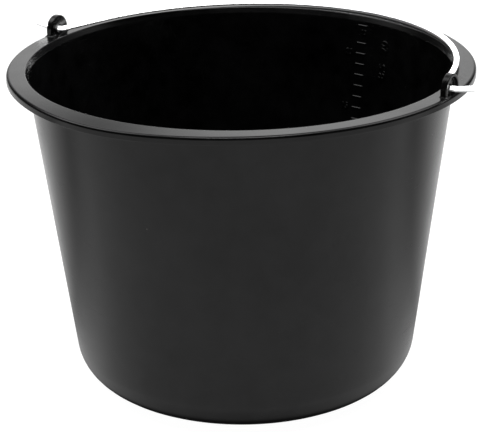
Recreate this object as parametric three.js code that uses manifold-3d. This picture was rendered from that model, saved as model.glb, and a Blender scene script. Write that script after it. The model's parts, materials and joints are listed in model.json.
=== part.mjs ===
// A round 20 litre bucket with a folding wire bail, in millimetres, +Z up.
// The origin is the centre of the foot ring, on the surface that the bucket stands on.
// The bail's pivots lie on X. At rest the bail is folded down towards +Y and lies on the flange.

import * as THREE from 'three';
import { mergeVertices } from 'three/addons/utils/BufferGeometryUtils.js';
import Module from 'manifold-3d';

const wasm = await Module();
wasm.setup();

// ---- driving dimensions -------------------------------------------------------------------------

const HEIGHT = 285.6; // floor to the level top of the flange
const FLANGE_RADIUS = 202;
const SIDES = 96; // facets round the bucket

// The wall thins from 3 mm at the foot to 2 mm at the mouth, so its two faces differ a little in slope.
const wall = {
  outerFoot: 149.4, // radius of the outer face, carried down to the floor
  outerSlope: 0.125, // growth of the radius per millimetre of height
  innerFoot: 146.4,
  innerSlope: 0.1285,
  cornerRadius: 35.2, // rounding between the outer face and the floor
};

const base = {
  recess: 8.4, // the base panel is raised above the floor by this much
  thickness: 3.2,
  footInner: 112, // inner radius of the foot ring
  footDraft: 2,
  cornerRadius: 22, // rounding between the inner face and the inside floor
};

const flange = {
  thickness: 2.2,
  lipRadius: 186.6, // where the top meets the rounding of the mouth
  mouthRadius: 1.4, // rounding from the flange's top into the bucket
  flareSlope: 0.675, // the wall flares by this much per millimetre just under the flange
  edgeRadius: 2.5, // rounding from the flange's top into the skirt
  skirt: 6.5, // depth of the down-turned edge
};

const ear = {
  radius: 197, // from the axis to the middle of the plate
  thickness: 5.7,
  halfWidth: 12.4,
  pivotHeight: 4.7, // above the flange
  holeRadius: 3.3,
  foot: 1.5, // how far the plate runs down into the flange
  border: 2.6, // raised edge round the hollow in the outer face
  hollow: 2, // depth of that hollow
};

const bail = {
  wireRadius: 2.3,
  bowHalfWidth: 186.6, // half axes of the ellipse that the bow follows
  bowLength: 207.7,
  bowSetback: 12.9, // the ellipse's centre lies this far behind the pivots
  legLean: THREE.MathUtils.degToRad(15), // of the straight leg between the bend and the bow
  bendRadius: 4,
  stubEnd: 219.7, // from the axis to the end of the stub
  kinkStart: 202, // where the stub turns up outside the ear
  kinkAngle: THREE.MathUtils.degToRad(10),
  restGap: 0.35, // between the bow's middle and the flange under it
  sides: 10,
};

const scale = {
  azimuth: THREE.MathUtils.degToRad(81.9),
  litres: [...Array(20).keys()].map((n) => n + 2).concat(22.7), // the last is 5 gallons
  length: 11.6,
  height: 1.4,
  proud: 0.5,
  root: 1, // how far the mark is let into the wall
};

const CUBIC_MM_PER_LITRE = 1e6;
const pivotZ = HEIGHT + ear.pivotHeight;
const floorTop = base.recess + base.thickness;

// ---- solids -------------------------------------------------------------------------------------

// A copy of the geometry with nothing but positions, and one vertex wherever several coincide.
function weld(geometry) {
  const bare = geometry.clone();
  bare.deleteAttribute('normal');
  bare.deleteAttribute('uv');
  return mergeVertices(bare, 1e-4);
}

function toManifold(geometry) {
  const welded = weld(geometry);
  return new wasm.Manifold(new wasm.Mesh({
    numProp: 3,
    vertProperties: new Float32Array(welded.attributes.position.array),
    triVerts: new Uint32Array(welded.index.array),
  }));
}

function toGeometry(solid) {
  const mesh = solid.getMesh();
  const geometry = new THREE.BufferGeometry();
  geometry.setAttribute('position', new THREE.BufferAttribute(mesh.vertProperties, 3));
  geometry.setIndex(new THREE.BufferAttribute(mesh.triVerts, 1));
  geometry.computeVertexNormals();
  return geometry;
}

// ---- bucket profile -----------------------------------------------------------------------------

function arc(centre, radius, from, to, steps) {
  const points = [];
  for (let i = 0; i <= steps; i += 1) {
    const angle = from + ((to - from) * i) / steps;
    points.push(new THREE.Vector2(
      centre.x + radius * Math.cos(angle),
      centre.y + radius * Math.sin(angle),
    ));
  }
  return points;
}

const outerDraft = Math.atan(wall.outerSlope);
const innerDraft = Math.atan(wall.innerSlope);
const outerRadiusAt = (z) => wall.outerFoot + wall.outerSlope * z;
const innerRadiusAt = (z) => wall.innerFoot + wall.innerSlope * z;

// The centre of a rounding between a level floor and the sloping wall above it.
function cornerCentre(radiusAtFloor, floorZ, radius, draft) {
  const tangent = radius / Math.tan(Math.PI / 4 + draft / 2);
  return new THREE.Vector2(radiusAtFloor - tangent, floorZ + radius);
}

const outerCorner = cornerCentre(outerRadiusAt(0), 0, wall.cornerRadius, outerDraft);
const innerCorner = cornerCentre(
  innerRadiusAt(floorTop),
  floorTop,
  base.cornerRadius,
  innerDraft,
);

function bucketProfile() {
  const point = (r, z) => new THREE.Vector2(r, z);
  const skirtInner = FLANGE_RADIUS - flange.thickness;
  const skirtBottom = HEIGHT - flange.skirt;
  const underFlange = HEIGHT - flange.thickness;
  const edgeCentre = point(FLANGE_RADIUS - flange.edgeRadius, HEIGHT - flange.edgeRadius);
  const lipCentre = point(flange.lipRadius, HEIGHT - flange.mouthRadius);

  // The wall flares into the flange over a height hidden behind the skirt.
  const flareDraft = Math.atan(flange.flareSlope);
  const outerFlareFoot = outerRadiusAt(skirtBottom);
  const outerFlareTop = outerFlareFoot + flange.flareSlope * (underFlange - skirtBottom);
  const mouthArc = arc(lipCentre, flange.mouthRadius, Math.PI / 2, Math.PI - flareDraft, 3);
  const innerFlareTop = mouthArc[mouthArc.length - 1];
  const innerFlareRadiusAtZero = innerFlareTop.x - flange.flareSlope * innerFlareTop.y;
  const innerFlareFootZ = (wall.innerFoot - innerFlareRadiusAtZero)
    / (flange.flareSlope - wall.innerSlope);
  return [
    point(0, base.recess),
    point(base.footInner - base.footDraft, base.recess),
    point(base.footInner, 0),
    ...arc(outerCorner, wall.cornerRadius, -Math.PI / 2, -outerDraft, 8),
    point(outerFlareFoot, skirtBottom),
    point(outerFlareTop, underFlange),
    point(skirtInner, underFlange),
    point(skirtInner, skirtBottom),
    point(FLANGE_RADIUS, skirtBottom),
    ...arc(edgeCentre, flange.edgeRadius, 0, Math.PI / 2, 4),
    ...mouthArc,
    point(innerRadiusAt(innerFlareFootZ), innerFlareFootZ),
    ...arc(innerCorner, base.cornerRadius, -innerDraft, -Math.PI / 2, 6),
    point(0, floorTop),
  ];
}

function bucketShell() {
  const lathe = new THREE.LatheGeometry(bucketProfile(), SIDES);
  return toManifold(lathe.rotateX(Math.PI / 2));
}

// ---- ears ---------------------------------------------------------------------------------------

// An arch-topped block round the +X pivot, from one distance off the axis to another.
function archBlock(halfWidth, bottom, from, to, hole) {
  const outline = new THREE.Shape();
  outline.moveTo(-halfWidth, bottom);
  outline.lineTo(halfWidth, bottom);
  outline.lineTo(halfWidth, 0);
  outline.absarc(0, 0, halfWidth, 0, Math.PI, false);
  outline.closePath();
  if (hole) {
    outline.holes.push(hole);
  }
  const block = new THREE.ExtrudeGeometry(outline, {
    depth: to - from,
    bevelEnabled: false,
    curveSegments: 14,
  });
  block.rotateX(Math.PI / 2);
  block.rotateZ(Math.PI / 2);
  return toManifold(block.translate(from, 0, pivotZ));
}

// The ear on the +X side: a plate with the bail's hole at the centre of its arch, hollowed on the
// outer face so that a raised border runs round it.
function earPlate() {
  const inner = ear.radius - ear.thickness / 2;
  const outer = ear.radius + ear.thickness / 2;
  const bottom = -ear.pivotHeight - ear.foot;
  const hole = new THREE.Path();
  hole.absarc(0, 0, ear.holeRadius, 0, 2 * Math.PI, true);
  const plate = archBlock(ear.halfWidth, bottom, inner, outer, hole);
  const hollow = archBlock(ear.halfWidth - ear.border, 2 * bottom, outer - ear.hollow, outer + 1);
  return plate.subtract(hollow);
}

// ---- litre marks --------------------------------------------------------------------------------

// The height at which the bucket holds a given volume: a cone frustum less its rounded corner.
function heightForLitres(litres) {
  const start = innerRadiusAt(floorTop);
  const cornerArea = (1 - Math.PI / 4) * base.cornerRadius ** 2;
  const cornerVolume = cornerArea * 2 * Math.PI * (start - base.cornerRadius / 4);
  const volume = litres * CUBIC_MM_PER_LITRE + cornerVolume;
  const end = Math.cbrt(start ** 3 + (3 * wall.innerSlope * volume) / Math.PI);
  return floorTop + (end - start) / wall.innerSlope;
}

// A short bar let a little way into the inner face of the wall.
function litreMark(litres) {
  const z = heightForLitres(litres);
  const depth = scale.root + scale.proud;
  const bar = new THREE.BoxGeometry(depth, scale.length, scale.height);
  bar.translate(depth / 2 - scale.proud, 0, 0);
  bar.rotateY(innerDraft);
  bar.translate(innerRadiusAt(z), 0, z);
  return bar.rotateZ(scale.azimuth);
}

function bucketBody() {
  let body = bucketShell();
  body = body.add(earPlate());
  body = body.add(earPlate().rotate([0, 0, 180]));
  for (const litres of scale.litres) {
    body = body.add(toManifold(litreMark(litres)));
  }
  return toGeometry(body);
}

// ---- wire bail ----------------------------------------------------------------------------------

// A route through a list of points, one step of the sweep to each point.
class PointRoute extends THREE.Curve {
  constructor(points) {
    super();
    this.points = points;
  }

  getPoint(t, target = new THREE.Vector3()) {
    const place = t * (this.points.length - 1);
    const first = Math.min(Math.floor(place + 1e-9), this.points.length - 2);
    return target.lerpVectors(this.points[first], this.points[first + 1], place - first);
  }

  getPointAt(u, target) {
    return this.getPoint(u, target);
  }

  getTangentAt(u, target = new THREE.Vector3()) {
    const step = 1 / (this.points.length - 1);
    const before = this.getPoint(Math.max(u - step, 0));
    const after = this.getPoint(Math.min(u + step, 1));
    return target.subVectors(after, before).normalize();
  }
}

// The +X half of the wire's centre line, from the end of the stub to just short of the bow's middle,
// lying flat, with the pivots on X and the bow towards +Y.
function halfRoute() {
  const points = [];
  const stubLength = bail.stubEnd - bail.kinkStart;
  for (const part of [1, 0.5, 0.15]) {
    const reach = stubLength * part;
    points.push(new THREE.Vector3(
      bail.kinkStart + reach,
      0,
      reach * Math.tan(bail.kinkAngle),
    ));
  }
  points.push(new THREE.Vector3(bail.kinkStart - 1, 0, 0));

  // The straight leg runs on into the ellipse where the ellipse has the leg's lean.
  const lean = bail.legLean;
  const startAngle = Math.atan((bail.bowLength / bail.bowHalfWidth) * Math.tan(lean));
  const legTop = new THREE.Vector2(
    bail.bowHalfWidth * Math.cos(startAngle),
    bail.bowLength * Math.sin(startAngle) - bail.bowSetback,
  );
  const legBottomY = bail.bendRadius * (1 - Math.sin(lean));
  const legBottomX = legTop.x + (legTop.y - legBottomY) * Math.tan(lean);
  const centreX = legBottomX + bail.bendRadius * Math.cos(lean);
  const bendSteps = 6;
  for (let i = 0; i <= bendSteps; i += 1) {
    const angle = -Math.PI / 2 - ((Math.PI / 2 - lean) * i) / bendSteps;
    points.push(new THREE.Vector3(
      centreX + bail.bendRadius * Math.cos(angle),
      bail.bendRadius * (1 + Math.sin(angle)),
      0,
    ));
  }

  const bowSteps = 26;
  for (let i = 0; i < bowSteps; i += 1) {
    const angle = startAngle + ((Math.PI / 2 - startAngle) * i) / bowSteps;
    points.push(new THREE.Vector3(
      bail.bowHalfWidth * Math.cos(angle),
      bail.bowLength * Math.sin(angle) - bail.bowSetback,
      0,
    ));
  }
  return points;
}

const bowReach = bail.bowLength - bail.bowSetback;

function wireBail() {
  const right = halfRoute();
  const middle = new THREE.Vector3(0, bowReach, 0);
  const left = right.map((p) => new THREE.Vector3(-p.x, p.y, p.z)).reverse();
  const points = [...right, middle, ...left];
  const section = new THREE.Shape();
  for (let i = 0; i < bail.sides; i += 1) {
    const angle = (2 * Math.PI * i) / bail.sides;
    const x = bail.wireRadius * Math.cos(angle);
    const y = bail.wireRadius * Math.sin(angle);
    if (i === 0) {
      section.moveTo(x, y);
    } else {
      section.lineTo(x, y);
    }
  }
  section.closePath();
  const wire = new THREE.ExtrudeGeometry(section, {
    steps: points.length - 1,
    extrudePath: new PointRoute(points),
    bevelEnabled: false,
  });
  return toGeometry(toManifold(wire));
}

// At rest the bow's middle lies on the flange, a little lower than the pivots.
const restHeight = HEIGHT + bail.wireRadius + bail.restGap;
const restTilt = -Math.asin((pivotZ - restHeight) / bowReach);

// ---- assembly -----------------------------------------------------------------------------------

function namedMesh(name, geometry, colour, roughness, metalness) {
  const material = new THREE.MeshStandardMaterial({ color: colour, roughness, metalness });
  const mesh = new THREE.Mesh(geometry, material);
  mesh.name = name;
  return mesh;
}

const bucket = new THREE.Group();
bucket.add(namedMesh('bucket_body', bucketBody(), 0x0b0b0c, 0.38, 0));

const swing = new THREE.Group();
swing.position.set(0, 0, pivotZ);
swing.rotation.x = restTilt;
swing.add(namedMesh('wire_bail', wireBail(), 0xd4d6d6, 0.3, 1));
bucket.add(swing);

export default bucket;
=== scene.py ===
"""Looks of a black plastic bucket with a wire bail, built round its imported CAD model.

Metres, +Z up, the bail's pivots on X, the bail folded down towards +Y at rest.
The floor and the light are not plain: see set_world, set_floor and the last lines.
"""

import json
import math

import bmesh
import bpy
from mathutils import Matrix, Vector, noise


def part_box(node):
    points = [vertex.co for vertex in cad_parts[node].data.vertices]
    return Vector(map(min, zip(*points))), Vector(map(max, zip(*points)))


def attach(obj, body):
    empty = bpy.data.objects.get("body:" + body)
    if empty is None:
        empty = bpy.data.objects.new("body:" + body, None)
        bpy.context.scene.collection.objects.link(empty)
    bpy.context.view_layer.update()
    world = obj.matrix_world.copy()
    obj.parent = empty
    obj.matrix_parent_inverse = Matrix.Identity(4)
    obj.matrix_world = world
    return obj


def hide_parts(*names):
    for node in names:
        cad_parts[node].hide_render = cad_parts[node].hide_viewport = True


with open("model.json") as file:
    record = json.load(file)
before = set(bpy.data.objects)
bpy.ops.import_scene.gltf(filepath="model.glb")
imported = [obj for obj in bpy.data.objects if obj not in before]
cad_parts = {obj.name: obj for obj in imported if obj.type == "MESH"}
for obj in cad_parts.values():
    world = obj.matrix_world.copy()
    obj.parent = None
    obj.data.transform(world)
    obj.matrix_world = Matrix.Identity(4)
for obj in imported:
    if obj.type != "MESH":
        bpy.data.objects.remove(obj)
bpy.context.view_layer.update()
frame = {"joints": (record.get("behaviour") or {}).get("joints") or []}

# ---- sizes --------------------------------------------------------------------------------------

MM = 0.001
TURN = 2 * math.pi

body_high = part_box("bucket_body")[1]
wire_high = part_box("wire_bail")[1]

RIM = body_high[1]  # outer radius of the flange
PIVOT_Z = frame["joints"][0]["pos_m"][2]
PIVOT_ABOVE_FLANGE = 4.7 * MM
HEIGHT = PIVOT_Z - PIVOT_ABOVE_FLANGE  # the flange's level top
LONGEST_STRETCH = 7 * MM  # along the outline of the shell, between one row of points and the next

# Wall and base
OUTER_FOOT = 149.4 * MM
OUTER_SLOPE = 0.125
INNER_FOOT = 146.4 * MM
INNER_SLOPE = 0.1285
FOOT_INNER = 112 * MM
FOOT_EDGE_ROUNDING = 0.8 * MM
FOOT_ROUNDING = 35.2 * MM
RECESS = 8.4 * MM
RECESS_TAPER = 2 * MM
RECESS_ROUNDING = 3 * MM
FLOOR_TOP = 11.6 * MM
FLOOR_ROUNDING = 22 * MM
WALL_WAVE = 0.16 * MM
WAVE_FOOT = 20 * MM  # no waves below this
WAVE_FADE_LOW = 50 * MM
WAVE_FADE_HIGH = 30 * MM
WAVES_ROUND = 2.4  # noise units on the way from the axis to the wall
WAVES_UP = 9  # noise units to a metre of height

# Flange
FLANGE_THICKNESS = 2.2 * MM
SKIRT = 6.5 * MM
LIP_RADIUS = 185.7 * MM  # where the flange's top, carried inwards, meets the flare of the mouth
LIP_ROUNDING = 1.4 * MM
FLARE_SLOPE = 0.675
FLARE_ROUNDING = 2 * MM
FLANGE_ROOT_ROUNDING = 1.5 * MM
SKIRT_TOP_ROUNDING = 0.9 * MM
SKIRT_EDGE_INNER = 0.4 * MM
SKIRT_EDGE_OUTER = 0.5 * MM
RIM_ROUNDING = 2.8 * MM
DROOP = 2.4 * MM  # the flange sags a little at the front
DROOP_AZIMUTH = math.radians(-96)
DROOP_SPREAD = math.radians(24)
DROOP_START = 1.5 * MM  # outwards of the lip
DROOP_FADE = 12 * MM

# Ears
EAR_HALF_WIDTH = body_high[2] - PIVOT_Z
EAR_RADIUS = 197 * MM
EAR_THICKNESS = 5.7 * MM
EAR_FOOT = 1.5 * MM
EAR_EDGE = 1.0 * MM
EAR_BORDER = 2.6 * MM
EAR_POCKET = 2.8 * MM
EAR_POCKET_EDGE = 0.4 * MM
EAR_FILLET = 1.3 * MM
HOLE_RADIUS = 3.3 * MM

# Bail
WIRE = 2.3 * MM
BOW_HALF_WIDTH = 186.6 * MM
BOW_LENGTH = 207.7 * MM
BOW_SETBACK = 12.9 * MM
BEND = 4 * MM
LEG_LEAN = math.radians(15)
KINK_START = 202 * MM
KINK = math.radians(10)
KINK_ROUNDING = 1.5 * MM
STUB_END = wire_high[0]
WIRE_END_ROUNDING = 0.9 * MM
REST_GAP = 0.35 * MM

# Graduation
LITRE = 0.001  # cubic metres
TOP_MARK = 22.7
MARK_AZIMUTH = math.radians(81.9)
MARK_LENGTH = 11.6 * MM
MARK_HEIGHT = 1.4 * MM
MARK_PROUD = 0.75 * MM
MARK_SUNK = 0.1 * MM  # the marks' edges lie this deep in the wall
MARK_SIDE_CURVE = 1.15  # 1 would be flat sides
FIGURE_PROUD = 0.4 * MM
FIGURE_BEVEL = 0.3 * MM
FIGURE_SIZE = 8 * MM
FIGURE_ACROSS = -13 * MM
TOP_FIGURE_SIZE = 6 * MM
TOP_FIGURE_ACROSS = 2 * MM
TOP_FIGURE_DROP = 6.5 * MM
END_FIGURE_AZIMUTH = math.radians(73)
END_FIGURE_SIZE = 12 * MM
END_FIGURE_DROPS = {"20": 24 * MM, "8.5": 47 * MM}  # the figures on end, and how far under the flange

# Camera
CAMERA_AZIMUTH = math.radians(31.267)
CAMERA_ELEVATION = math.radians(16.467)
CAMERA_DISTANCE = 7.5 * RIM
CAMERA_AIM_DROP = 1.9 * MM
CAMERA_PITCH = math.radians(21.456)
CAMERA_YAW = math.radians(-0.126)
CAMERA_ROLL = math.radians(-1.014)

# Colours
PLASTIC_DARK = (0.0002, 0.0002, 0.0002, 1)
PLASTIC_PALE = (0.0055, 0.0055, 0.0057, 1)
DUST_COLOUR = (0.32, 0.31, 0.30, 1)
ZINC_DULL = (0.90, 0.905, 0.91, 1)
ZINC_BRIGHT = (0.97, 0.972, 0.975, 1)
GRIME_COLOUR = (0.62, 0.62, 0.61, 1)
FLOOR_GREY = (0.12, 0.12, 0.12, 1)
WHITE = (1, 1, 1, 1)


def outer_radius(z):
    return OUTER_FOOT + OUTER_SLOPE * z


def inner_radius(z):
    return INNER_FOOT + INNER_SLOPE * z


# ---- mesh tools ---------------------------------------------------------------------------------


def fillet(corners, step_angle=math.radians(7)):
    """An open outline from (x, y, radius) corners, each rounded by an arc of its own radius."""
    points = [Vector(corners[0][:2])]
    for i in range(1, len(corners) - 1):
        here = Vector(corners[i][:2])
        back = (Vector(corners[i - 1][:2]) - here).normalized()
        ahead = (Vector(corners[i + 1][:2]) - here).normalized()
        radius = corners[i][2]
        half = back.angle(ahead) / 2
        middle = (back + ahead).normalized()
        centre = here + middle * (radius / math.sin(half))
        start = here + back * (radius / math.tan(half)) - centre
        sweep = start.angle_signed(here + ahead * (radius / math.tan(half)) - centre)
        steps = max(2, math.ceil(abs(sweep) / step_angle))
        for k in range(steps + 1):
            turn = -sweep * k / steps
            x = start.x * math.cos(turn) - start.y * math.sin(turn)
            y = start.x * math.sin(turn) + start.y * math.cos(turn)
            points.append(centre + Vector((x, y)))
    points.append(Vector(corners[-1][:2]))
    return points


def divided(points, longest):
    """The same outline with no stretch longer than a given length."""
    result = [points[0]]
    for a, b in zip(points, points[1:]):
        pieces = max(1, math.ceil((b - a).length / longest))
        result += [a.lerp(b, k / pieces) for k in range(1, pieces + 1)]
    return result


def grid_mesh(name, rows, close_rows=False):
    """A mesh of quads over closed rows of points, with every row the same length."""
    bm = bmesh.new()
    made = [[bm.verts.new(p) for p in row] for row in rows]
    count = len(rows)
    width = len(rows[0])
    for i in range(count if close_rows else count - 1):
        for j in range(width):
            quad = (
                made[i][j],
                made[i][(j + 1) % width],
                made[(i + 1) % count][(j + 1) % width],
                made[(i + 1) % count][j],
            )
            bm.faces.new(quad)
    bmesh.ops.remove_doubles(bm, verts=bm.verts, dist=1e-7)
    bmesh.ops.recalc_face_normals(bm, faces=bm.faces)
    return finished_mesh(name, bm)


def finished_mesh(name, bm, smooth=True):
    """The mesh of a finished bmesh, either smooth all over or shaded as its faces say."""
    mesh = bpy.data.meshes.new(name)
    bm.to_mesh(mesh)
    bm.free()
    if smooth:
        for polygon in mesh.polygons:
            polygon.use_smooth = True
    return mesh


def add_object(name, data):
    obj = bpy.data.objects.new(name, data)
    bpy.context.scene.collection.objects.link(obj)
    return obj


def piece(name, mesh, body, material, replaces=()):
    """One piece of the object, riding on a body and standing in for the CAD nodes it replaces."""
    obj = add_object(name, mesh)
    mesh.materials.append(material)
    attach(obj, body)
    if replaces:
        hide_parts(*replaces)
    return obj


def weighted_normals(obj):
    modifier = obj.modifiers.new("normals", "WEIGHTED_NORMAL")
    modifier.weight = 100
    modifier.keep_sharp = True


# ---- materials ----------------------------------------------------------------------------------


class Nodes:
    """A node tree of a material or world, with a short way to add a node and link its inputs."""

    def __init__(self, name, world=False):
        self.owner = (bpy.data.worlds if world else bpy.data.materials).new(name)
        self.owner.use_nodes = True
        self.tree = self.owner.node_tree
        self.tree.nodes.clear()
        self.out = self.add("OutputWorld" if world else "OutputMaterial")

    def add(self, kind, inputs=None, **settings):
        node = self.tree.nodes.new("ShaderNode" + kind)
        for key, value in settings.items():
            setattr(node, key, value)
        for key, value in (inputs or {}).items():
            if isinstance(value, bpy.types.NodeSocket):
                self.tree.links.new(value, node.inputs[key])
            else:
                node.inputs[key].default_value = value
        return node

    def noise(self, vector, scale, detail=3.0, rough=0.5):
        inputs = {"Vector": vector, "Scale": scale, "Detail": detail, "Roughness": rough}
        return self.add("TexNoise", inputs).outputs["Fac"]

    def remap(self, value, low, high, to_low, to_high):
        """A value between low and high, moved in proportion to between to_low and to_high."""
        inputs = {"Value": value, 1: low, 2: high, 3: to_low, 4: to_high}
        return self.add("MapRange", inputs, clamp=True).outputs[0]

    def math(self, operation, a, b=0):
        return self.add("Math", {0: a, 1: b}, operation=operation).outputs[0]

    def mix_colour(self, factor, a, b):
        node = self.add("Mix", {"Factor": factor, 6: a, 7: b}, data_type="RGBA")
        return node.outputs[2]

    def bump(self, height, strength, distance, normal=None):
        inputs = {"Height": height, "Strength": strength, "Distance": distance}
        if normal is not None:
            inputs["Normal"] = normal
        return self.add("Bump", inputs).outputs[0]

    def surface(self, shader):
        self.tree.links.new(shader.outputs[0], self.out.inputs["Surface"])
        return self.owner


def black_plastic():
    """Moulded polypropylene: darker than the real thing, satin, with mottling, scuffs and dust."""
    n = Nodes("black_plastic")
    place = n.add("TexCoord").outputs["Object"]

    coarse = n.noise(place, scale=9, detail=4)
    cloud = n.math("ADD", coarse, n.noise(place, scale=55, detail=4, rough=0.65))
    shade = n.remap(cloud, 0.75, 1.25, 0, 1)
    colour = n.mix_colour(shade, PLASTIC_DARK, PLASTIC_PALE)

    # Dust: a small dot in a few of the cells of a coarse pattern.
    cells = n.add("TexVoronoi", {"Vector": place, "Scale": 70, "Randomness": 1.0})
    pick = n.add("SeparateColor", {0: cells.outputs["Color"]}).outputs[0]
    dot = n.remap(cells.outputs["Distance"], 0.02, 0.05, 1, 0)
    chosen = n.remap(pick, 0.955, 0.96, 0, 0.5)
    dust = n.math("MULTIPLY", dot, chosen)
    colour = n.mix_colour(dust, colour, DUST_COLOUR)

    # Scuffs: thin broken streaks that leave the surface duller.
    stretched = n.add("Mapping", {"Vector": place, "Scale": (30, 30, 420)}).outputs[0]
    streak = n.remap(n.noise(stretched, scale=1.0, detail=5, rough=0.6), 0.60, 0.72, 0, 0.10)
    broad = n.remap(n.noise(place, scale=26, detail=3), 0.3, 0.7, 0.17, 0.24)
    rough = n.math("ADD", broad, streak)
    rough = n.math("ADD", rough, n.math("MULTIPLY", dust, 0.5))

    grain = n.bump(n.noise(place, scale=1400, detail=2), strength=0.10, distance=0.1 * MM)
    wave = n.bump(n.noise(place, scale=14, detail=2), strength=0.25, distance=1.2 * MM, normal=grain)
    inputs = {
        "Base Color": colour,
        "Roughness": rough,
        "Normal": wave,
        "IOR": 1.49,
        "Specular IOR Level": 0.22,
    }
    return n.surface(n.add("BsdfPrincipled", inputs))


def galvanised_wire():
    """Bright zinc coated wire: pale, a little blotchy, with faint drawing lines along it."""
    n = Nodes("galvanised_wire")
    place = n.add("TexCoord").outputs["Object"]
    along = n.add("UVMap", uv_map="wire").outputs[0]
    lines = n.add("Mapping", {"Vector": along, "Scale": (40, 9, 1)}).outputs[0]
    drawn = n.noise(lines, scale=1.0, detail=4, rough=0.6)
    blotch = n.noise(place, scale=190, detail=3)
    shade = n.remap(blotch, 0.35, 0.65, 0, 1)
    colour = n.mix_colour(shade, ZINC_DULL, ZINC_BRIGHT)
    grime = n.remap(n.noise(place, scale=60, detail=4), 0.66, 0.78, 0, 0.25)
    colour = n.mix_colour(grime, colour, GRIME_COLOUR)
    rough = n.remap(drawn, 0.3, 0.7, 0.34, 0.48)
    bump = n.bump(drawn, strength=0.12, distance=0.2 * MM)
    inputs = {"Base Color": colour, "Roughness": rough, "Normal": bump, "Metallic": 0.2}
    return n.surface(n.add("BsdfPrincipled", inputs))


PLASTIC = black_plastic()
ZINC = galvanised_wire()

# ---- bucket shell -------------------------------------------------------------------------------


def shell_outline():
    """From the middle of the underside, round the flange, to the middle of the inside floor."""
    skirt_inner = RIM - FLANGE_THICKNESS
    under = HEIGHT - FLANGE_THICKNESS
    skirt_bottom = HEIGHT - SKIRT
    outer_flare = outer_radius(skirt_bottom) + FLARE_SLOPE * (under - skirt_bottom)
    flare_at_zero = LIP_RADIUS - FLARE_SLOPE * HEIGHT
    flare_foot = (INNER_FOOT - flare_at_zero) / (FLARE_SLOPE - INNER_SLOPE)
    corners = [
        (0, RECESS, 0),
        (FOOT_INNER - RECESS_TAPER, RECESS, RECESS_ROUNDING),
        (FOOT_INNER, 0, FOOT_EDGE_ROUNDING),
        (outer_radius(0), 0, FOOT_ROUNDING),
        (outer_radius(skirt_bottom), skirt_bottom, FLARE_ROUNDING),
        (outer_flare, under, FLANGE_ROOT_ROUNDING),
        (skirt_inner, under, SKIRT_TOP_ROUNDING),
        (skirt_inner, skirt_bottom, SKIRT_EDGE_INNER),
        (RIM, skirt_bottom, SKIRT_EDGE_OUTER),
        (RIM, HEIGHT, RIM_ROUNDING),
        (LIP_RADIUS, HEIGHT, LIP_ROUNDING),
        (inner_radius(flare_foot), flare_foot, FLARE_ROUNDING),
        (inner_radius(FLOOR_TOP), FLOOR_TOP, FLOOR_ROUNDING),
        (0, FLOOR_TOP, 0),
    ]
    return divided(fillet(corners), LONGEST_STRETCH)


def within_unit(value):
    return min(1, max(0, value))


def wall_wave(angle, z):
    """How far the thin wall stands off a true cone: long low waves that die out at both ends."""
    ends = within_unit((z - WAVE_FOOT) / WAVE_FADE_LOW) * within_unit((HEIGHT - z) / WAVE_FADE_HIGH)
    spot = Vector((math.cos(angle) * WAVES_ROUND, math.sin(angle) * WAVES_ROUND, z * WAVES_UP))
    return WALL_WAVE * ends * noise.noise(spot)


def droop(r, angle):
    """How far the flange sags: most at the front, next to nothing at the ears, none at the lip."""
    off = (angle - DROOP_AZIMUTH + math.pi) % TURN - math.pi
    outwards = within_unit((r - LIP_RADIUS - DROOP_START) / DROOP_FADE)
    return DROOP * math.exp(-((off / DROOP_SPREAD) ** 2)) * outwards


def bucket_shell():
    sides = 288
    rows = []
    for r, z in shell_outline():
        row = []
        for k in range(sides):
            angle = TURN * k / sides
            radius = r + wall_wave(angle, z) if r > FOOT_INNER else r
            sag = droop(r, angle)
            row.append((radius * math.cos(angle), radius * math.sin(angle), z - sag))
        rows.append(row)
    mesh = grid_mesh("bucket_shell", rows)
    obj = piece("bucket_shell", mesh, "bucket", PLASTIC, ["bucket_body"])
    weighted_normals(obj)


# ---- ears ---------------------------------------------------------------------------------------


def arch(half_width, bottom):
    """An arch-topped outline round the pivot, anticlockwise from the foot on the +Y side."""
    points = []
    side_steps = 10
    for k in range(side_steps):
        points.append(Vector((half_width, bottom * (1 - k / side_steps))))
    top_steps = 40
    for k in range(top_steps + 1):
        angle = math.pi * k / top_steps
        points.append(Vector((half_width * math.cos(angle), half_width * math.sin(angle))))
    for k in range(1, side_steps + 1):
        points.append(Vector((-half_width, bottom * k / side_steps)))
    foot_steps = 12
    for k in range(1, foot_steps):
        points.append(Vector((-half_width + 2 * half_width * k / foot_steps, bottom)))
    return points


def ring_between(outline, hole_radius, share):
    """Points a given share of the way from an outline to the round hole inside it."""
    return [p.lerp(p.normalized() * hole_radius, share) for p in outline]


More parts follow.
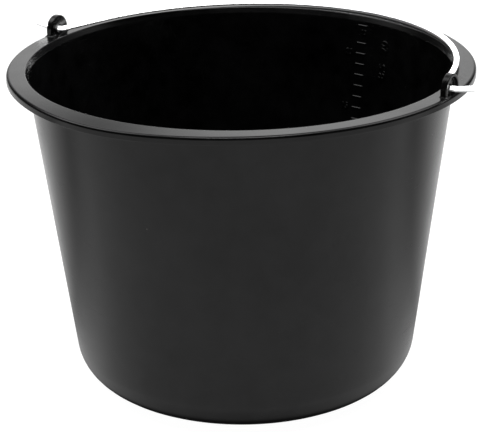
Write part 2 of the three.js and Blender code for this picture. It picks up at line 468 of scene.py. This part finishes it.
def ear_rows():
    """Cross-section stations of the plate, each a closed row of (outwards, y, z above pivot)."""
    bottom = -(PIVOT_Z - HEIGHT) - EAR_FOOT
    half = EAR_THICKNESS / 2
    stations = []

    def station(inset, share, x):
        outline = arch(EAR_HALF_WIDTH - inset, bottom)
        ring = ring_between(outline, HOLE_RADIUS, share)
        stations.append([(x, p.x, p.y) for p in ring])

    face_steps = 6
    for k in range(face_steps + 1):
        station(EAR_EDGE, 1 - k / face_steps, -half)
    edge_steps = 5
    for k in range(1, edge_steps + 1):
        angle = math.pi / 2 * k / edge_steps
        station(EAR_EDGE * (1 - math.sin(angle)), 0, -half + EAR_EDGE * (1 - math.cos(angle)))
    for k in range(edge_steps + 1):
        angle = math.pi / 2 * k / edge_steps
        station(EAR_EDGE * (1 - math.cos(angle)), 0, half - EAR_EDGE * (1 - math.sin(angle)))
    # The border's inner edge and the pocket's foot are each a small corner cut in two.
    edge = EAR_POCKET_EDGE
    station(EAR_BORDER - edge, 0, half)
    station(EAR_BORDER - edge * 0.3, 0, half - edge * 0.3)
    station(EAR_BORDER, 0, half - edge)
    station(EAR_BORDER + edge, 0, half - EAR_POCKET + edge)
    station(EAR_BORDER + 1.3 * edge, 0, half - EAR_POCKET + 0.3 * edge)
    for k in range(face_steps + 1):
        station(EAR_BORDER + 2 * edge, k / face_steps, half - EAR_POCKET)
    return stations


def foot_flare(height):
    """How far a small fillet reaches out at a height above the flange."""
    if height >= EAR_FILLET:
        return 0
    gap = EAR_FILLET - max(height, 0)
    return EAR_FILLET - math.sqrt(max(EAR_FILLET**2 - gap**2, 0))


def ear(name, side):
    """One ear plate, bored for the wire, standing on the flange at +X (side 1) or -X (side -1)."""
    side_face = EAR_HALF_WIDTH - EAR_EDGE * 1.5
    rows = []
    for station in ear_rows():
        row = []
        for x, y, z in station:
            r = EAR_RADIUS + x
            flare = foot_flare(PIVOT_Z + z - HEIGHT)
            r += math.copysign(flare, x)
            if abs(y) > side_face:
                y += math.copysign(flare, y)
            row.append((side * r, side * y, PIVOT_Z + z))
        rows.append(row)
    mesh = grid_mesh(name, rows, close_rows=True)
    obj = piece(name, mesh, "bucket", PLASTIC)
    weighted_normals(obj)


# ---- graduation ---------------------------------------------------------------------------------


def height_for_litres(litres):
    """The height that a volume fills to: a cone frustum less its rounded corner."""
    start = inner_radius(FLOOR_TOP)
    corner_area = (1 - math.pi / 4) * FLOOR_ROUNDING**2
    corner_volume = corner_area * TURN * (start - FLOOR_ROUNDING / 4)
    volume = litres * LITRE + corner_volume
    end = (start**3 + 3 * INNER_SLOPE * volume / math.pi) ** (1 / 3)
    return FLOOR_TOP + (end - start) / INNER_SLOPE


def on_wall(azimuth, across, z, proud):
    """A point on the inner face of the wall, a distance to one side of an azimuth."""
    r = inner_radius(z) - proud
    angle = azimuth - across / r
    return (r * math.cos(angle), r * math.sin(angle), z)


def add_mark(bm, litres):
    """A low ridge with slanting sides and rounded ends."""
    z = height_for_litres(litres)
    rows = []
    length_steps = 12
    height_steps = 8
    for i in range(length_steps + 1):
        across = MARK_LENGTH * (i / length_steps - 0.5)
        end_gap = MARK_LENGTH / 2 - abs(across)
        fullness = min(1, end_gap / MARK_HEIGHT * 2)
        row = []
        for k in range(height_steps + 1):
            up = MARK_HEIGHT * (k / height_steps - 0.5)
            slant = 1 - (2 * abs(up) / MARK_HEIGHT) ** MARK_SIDE_CURVE
            proud = MARK_PROUD * slant * math.sqrt(fullness) - MARK_SUNK
            row.append(bm.verts.new(on_wall(MARK_AZIMUTH, across, z + up, proud)))
        rows.append(row)
    for a, b in zip(rows, rows[1:]):
        for k in range(len(a) - 1):
            bm.faces.new((a[k], b[k], b[k + 1], a[k + 1]))
        bm.faces.new((a[-1], b[-1], b[0], a[0]))
    bm.faces.new(rows[0])
    bm.faces.new(reversed(rows[-1]))


def graduation_marks():
    """A mark for each litre from the second, and one for 5 US gallons at the top."""
    bm = bmesh.new()
    for litres in [*range(2, 22), TOP_MARK]:
        add_mark(bm, litres)
    bmesh.ops.recalc_face_normals(bm, faces=bm.faces)
    mesh = finished_mesh("graduation_marks", bm)
    piece("graduation_marks", mesh, "bucket", PLASTIC)


def figure_mesh(text, size):
    """A number as a flat raised mesh, centred, with its front towards +Z."""
    curve = bpy.data.curves.new("figure", "FONT")
    curve.body = text
    curve.size = size
    curve.extrude = FIGURE_PROUD
    curve.bevel_depth = FIGURE_BEVEL
    curve.bevel_resolution = 0
    curve.resolution_u = 4
    curve.align_x = "CENTER"
    curve.align_y = "CENTER"
    source = add_object("figure", curve)
    bpy.context.view_layer.update()
    evaluated = source.evaluated_get(bpy.context.evaluated_depsgraph_get())
    mesh = bpy.data.meshes.new_from_object(evaluated)
    bpy.data.objects.remove(source)
    bpy.data.curves.remove(curve)
    return mesh


def graduation_figures():
    """Numbers, upright beside every fifth litre and under the top mark, and on end near the top."""
    bm = bmesh.new()
    figures = []
    for litres in (5, 10, 15, 20):
        z = height_for_litres(litres)
        figures.append((str(litres), FIGURE_SIZE, MARK_AZIMUTH, FIGURE_ACROSS, z, 0))
    z = height_for_litres(TOP_MARK) - TOP_FIGURE_DROP
    figures.append(("23", TOP_FIGURE_SIZE, MARK_AZIMUTH, TOP_FIGURE_ACROSS, z, 0))
    for text, drop in END_FIGURE_DROPS.items():
        figures.append((text, END_FIGURE_SIZE, END_FIGURE_AZIMUTH, 0, HEIGHT - drop, math.pi / 2))
    for text, size, azimuth, across, z, turn in figures:
        mesh = figure_mesh(text, size)
        for vertex in mesh.vertices:
            flat = Matrix.Rotation(turn, 2) @ vertex.co.xy
            vertex.co = on_wall(azimuth, across + flat.x, z + flat.y, vertex.co.z)
        bm.from_mesh(mesh)
        bpy.data.meshes.remove(mesh)
    bmesh.ops.remove_doubles(bm, verts=bm.verts, dist=1e-6)
    mesh = finished_mesh("graduation_figures", bm, smooth=False)
    piece("graduation_figures", mesh, "bucket", PLASTIC)


# ---- bail ---------------------------------------------------------------------------------------


def half_route():
    """The +X half of the wire's centre line, pivots on X, bow towards +Y, laid flat."""
    points = []
    stub = STUB_END - KINK_START
    stub_steps = 10
    for k in range(stub_steps + 1):
        reach = stub * (1 - k / stub_steps)
        ease = reach - KINK_ROUNDING * (1 - math.exp(-reach / KINK_ROUNDING))
        points.append(Vector((KINK_START + reach, 0, ease * math.tan(KINK))))

    # The straight leg runs on into the bow where the bow has the leg's lean.
    start = math.atan(BOW_LENGTH / BOW_HALF_WIDTH * math.tan(LEG_LEAN))
    top_x = BOW_HALF_WIDTH * math.cos(start)
    top_y = BOW_LENGTH * math.sin(start) - BOW_SETBACK
    bottom_y = BEND * (1 - math.sin(LEG_LEAN))
    bottom_x = top_x + (top_y - bottom_y) * math.tan(LEG_LEAN)
    centre_x = bottom_x + BEND * math.cos(LEG_LEAN)
    bend_steps = 14
    for k in range(bend_steps + 1):
        angle = -math.pi / 2 - (math.pi / 2 - LEG_LEAN) * k / bend_steps
        points.append(Vector((
            centre_x + BEND * math.cos(angle),
            BEND * (1 + math.sin(angle)),
            0,
        )))
    leg_steps = 12
    for k in range(1, leg_steps):
        share = k / leg_steps
        points.append(Vector((
            bottom_x + (top_x - bottom_x) * share,
            bottom_y + (top_y - bottom_y) * share,
            0,
        )))
    bow_steps = 90
    for k in range(bow_steps):
        angle = start + (math.pi / 2 - start) * k / bow_steps
        points.append(Vector((
            BOW_HALF_WIDTH * math.cos(angle),
            BOW_LENGTH * math.sin(angle) - BOW_SETBACK,
            0,
        )))
    return points


def bail_route():
    """The whole centre line, tilted down until the bow lies just above the flange."""
    right = half_route()
    reach = BOW_LENGTH - BOW_SETBACK
    left = [Vector((-p.x, p.y, p.z)) for p in reversed(right)]
    flat = [*right, Vector((0, reach, 0)), *left]
    rest_height = HEIGHT + WIRE + REST_GAP
    tilt = Matrix.Rotation(-math.asin((PIVOT_Z - rest_height) / reach), 3, "X")
    return [tilt @ p + Vector((0, 0, PIVOT_Z)) for p in flat]


def wire_stations(route):
    """(centre, radius) along the wire, with the cut ends rounded over."""
    burr = WIRE_END_ROUNDING
    steps = 5
    first = (route[0] - route[1]).normalized()
    last = (route[-1] - route[-2]).normalized()
    head, tail = [], []
    for k in range(steps + 1):
        angle = math.pi / 2 * k / steps
        radius = WIRE - burr * (1 - math.cos(math.pi / 2 - angle))
        head.append((route[0] - first * burr + first * burr * math.cos(angle), radius))
        tail.append((route[-1] - last * burr + last * burr * math.cos(angle), radius))
    middle = [(p, WIRE) for p in route[1:-1]]
    return [*head, *middle, *reversed(tail)]


def wire_bail():
    """The wire as one closed tube, with a UV map whose first coordinate runs along it in metres."""
    stations = wire_stations(bail_route())
    sides = 28
    rows = []
    lengths = [0.0]
    side_vector = Vector((0, 1, 0))
    for i, (centre, radius) in enumerate(stations):
        before = stations[max(i - 1, 0)][0]
        after = stations[min(i + 1, len(stations) - 1)][0]
        along = (after - before).normalized()
        side_vector = (side_vector - along * side_vector.dot(along)).normalized()
        other = along.cross(side_vector)
        row = []
        for k in range(sides):
            angle = TURN * k / sides
            offset = side_vector * math.cos(angle) + other * math.sin(angle)
            row.append(centre + offset * radius)
        rows.append(row)
        if i:
            lengths.append(lengths[-1] + (centre - before).length)
    bm = bmesh.new()
    uv = bm.loops.layers.uv.new("wire")
    made = [[bm.verts.new(p) for p in row] for row in rows]
    for i in range(len(made) - 1):
        for k in range(sides):
            j = (k + 1) % sides
            face = bm.faces.new((made[i][k], made[i][j], made[i + 1][j], made[i + 1][k]))
            spots = ((i, k), (i, k + 1), (i + 1, k + 1), (i + 1, k))
            for loop, (row_index, column) in zip(face.loops, spots):
                loop[uv].uv = (lengths[row_index], column / sides)
    bm.faces.new(reversed(made[0]))
    bm.faces.new(made[-1])
    bmesh.ops.recalc_face_normals(bm, faces=bm.faces)
    mesh = finished_mesh("bail_wire", bm)
    obj = piece("bail_wire", mesh, "bail", ZINC, ["wire_bail"])
    weighted_normals(obj)
    return obj


# ---- camera, light, floor -----------------------------------------------------------------------


def set_camera():
    """Stands 7.5 flange radii off, to the right of the front, and looks down into the mouth."""
    turn = Matrix.Rotation(CAMERA_AZIMUTH, 3, "Z")
    spot = Vector((0, -math.cos(CAMERA_ELEVATION), math.sin(CAMERA_ELEVATION))) * CAMERA_DISTANCE
    forward = Vector((
        math.sin(CAMERA_YAW) * math.cos(CAMERA_PITCH),
        math.cos(CAMERA_YAW) * math.cos(CAMERA_PITCH),
        -math.sin(CAMERA_PITCH),
    ))
    right = Vector((math.cos(CAMERA_YAW), -math.sin(CAMERA_YAW), 0))
    up = right.cross(forward)
    rolled_right = right * math.cos(CAMERA_ROLL) + up * math.sin(CAMERA_ROLL)
    rolled_up = up * math.cos(CAMERA_ROLL) - right * math.sin(CAMERA_ROLL)
    axes = Matrix((turn @ rolled_right, turn @ rolled_up, turn @ -forward)).transposed()
    place = turn @ spot + Vector((0, 0, HEIGHT - CAMERA_AIM_DROP))
    camera = add_object("camera", bpy.data.cameras.new("camera"))
    camera.matrix_world = Matrix.Translation(place) @ axes.to_4x4()
    camera.data.sensor_width = 36
    camera.data.lens = 130.85
    camera.data.clip_start = 0.05
    camera.data.clip_end = 60
    bpy.context.scene.camera = camera


def behind_bucket(n, x, y):
    """How far a spot or a direction lies on the side of the bucket away from the camera."""
    across = n.math("MULTIPLY", x, -math.sin(CAMERA_AZIMUTH))
    return n.math("ADD", across, n.math("MULTIPLY", y, math.cos(CAMERA_AZIMUTH)))


def set_world():
    """A dark studio with a white card behind the bucket, one overhead and a small one at each side.

    This is not plain studio light. The cards are laid out by the main camera's azimuth, and only
    mirrored and scattered light meets them: the lens sees plain white all round.
    """
    dark = 0.04
    rear_card = 1.65
    rear_card_top = 0.3
    rear_card_foot_share = 0.5
    overhead_card = 13.0
    side_cards = 3.6
    side_aside, side_behind, side_up = 0.56, 0.28, 0.78  # the direction of the side cards
    seen_white = 1.1
    n = Nodes("studio", world=True)
    split = n.add("SeparateXYZ", {0: n.add("TexCoord").outputs["Generated"]})
    x, y, z = split.outputs
    to_right = n.math("MULTIPLY", x, math.cos(CAMERA_AZIMUTH))
    to_right = n.math("ADD", to_right, n.math("MULTIPLY", y, math.sin(CAMERA_AZIMUTH)))
    aside = n.math("ABSOLUTE", to_right)
    behind = behind_bucket(n, x, y)
    card = n.remap(aside, 0.04, 0.50, 1.0, 0.0)
    rear_upwards = n.remap(z, 0.50, 0.90, rear_card, rear_card_top)
    rear = n.math("MULTIPLY", rear_upwards, n.remap(z, 0.0, 0.22, rear_card_foot_share, 1.0))
    front = n.remap(z, 0.93, 0.97, dark, overhead_card)
    share = n.math("MULTIPLY", card, n.remap(behind, -0.25, 0.05, 0.0, 1.0))
    light = n.math("ADD", front, n.math("MULTIPLY", share, n.math("SUBTRACT", rear, front)))
    # Two small cards high up on either side draw thin lines along the lip and the raised marks.
    nearness = n.math("MULTIPLY", aside, side_aside)
    nearness = n.math("ADD", nearness, n.math("MULTIPLY", behind, side_behind))
    nearness = n.math("ADD", nearness, n.math("MULTIPLY", z, side_up))
    light = n.math("ADD", light, n.remap(nearness, 0.93, 0.98, 0.0, side_cards))
    seen = n.add("LightPath").outputs["Is Camera Ray"]
    light = n.math("ADD", light, n.math("MULTIPLY", seen, n.math("SUBTRACT", seen_white, light)))
    background = n.add("Background", {"Color": WHITE, "Strength": light})
    bpy.context.scene.world = n.surface(background)


def area_light(name, place, target, size, watts, only=None):
    """A soft lamp that no surface mirrors, lighting everything or one object only."""
    data = bpy.data.lights.new(name, "AREA")
    data.shape = "DISK"
    data.size = size
    data.energy = watts
    light = add_object(name, data)
    light.location = place
    light.rotation_euler = (Vector(target) - Vector(place)).to_track_quat("-Z", "Y").to_euler()
    light.visible_camera = False
    light.visible_glossy = False
    if only:
        receivers = bpy.data.collections.new(name + "_receivers")
        receivers.objects.link(only)
        light.light_linking.receiver_collection = receivers


def set_floor():
    """A wide glowing disc that the lens sees as white paper, with a narrow painted shade where the
    bucket stands.

    This is not a plain floor. Its glow is painted light, and what the bucket mirrors of it is painted
    darker than what the lens sees, near the bucket and on its side away from the main camera.
    """
    n = Nodes("studio_floor")
    place = n.add("TexCoord").outputs["Object"]
    radius = n.add("VectorMath", {0: place}, operation="LENGTH").outputs["Value"]
    seen_white = 0.98
    mirrored_white = 0.94
    mirrored_dark = 0.008
    # Painted shade: the glow that the lens sees falls to nothing where the bucket stands.
    painted_contact_shade = n.remap(radius, 118 * MM, 127 * MM, 0.0, seen_white)
    x, y, _ = n.add("SeparateXYZ", {0: place}).outputs
    behind = behind_bucket(n, x, y)
    # Painted shade in what the bucket mirrors: darker on its side away from the camera and near its
    # foot.
    falling = n.remap(behind, -50 * MM, 70 * MM, 1, 0.3)
    dimmer = n.math("ADD", falling, n.remap(behind, 100 * MM, 350 * MM, 0, 0.5))
    near_bucket = n.remap(radius, 140 * MM, 172 * MM, mirrored_dark, mirrored_white)
    mirrored = n.math("MULTIPLY", dimmer, near_bucket)
    seen = n.add("LightPath").outputs["Is Camera Ray"]
    extra = n.math("MULTIPLY", seen, n.math("SUBTRACT", painted_contact_shade, mirrored))
    near = n.math("ADD", mirrored, extra)
    # Painted light: the glow grows a little away from the bucket.
    open_floor = n.remap(radius, 160 * MM, 300 * MM, 0.0, 0.06)
    mottle = n.remap(n.noise(place, scale=3, detail=2), 0.3, 0.7, 0.0, 0.01)
    glow = n.math("ADD", n.math("ADD", near, open_floor), mottle)
    inputs = {
        "Base Color": FLOOR_GREY,
        "Roughness": 0.9,
        "Specular IOR Level": 0.0,
        "Emission Color": WHITE,
        "Emission Strength": glow,
    }
    material = n.surface(n.add("BsdfPrincipled", inputs))
    bm = bmesh.new()
    bmesh.ops.create_circle(bm, cap_ends=True, segments=96, radius=14)
    mesh = finished_mesh("floor", bm, smooth=False)
    mesh.materials.append(material)
    floor = add_object("floor", mesh)


bpy.context.scene.view_settings.view_transform = "Standard"
set_camera()
set_world()
area_light("overhead", place=(0, 0.3, 2.6), target=(0, 0, 0.1), size=2.0, watts=20)
set_floor()

bucket_shell()
ear("ear_right", 1)
ear("ear_left", -1)
graduation_marks()
graduation_figures()
wire = wire_bail()
# The wire alone gets a lamp of its own, to be as overexposed as in the photograph.
over_wire = (0.35, -0.7, 2.4)
area_light("wire_light", place=over_wire, target=(0, 0, HEIGHT), size=0.8, watts=420, only=wire)
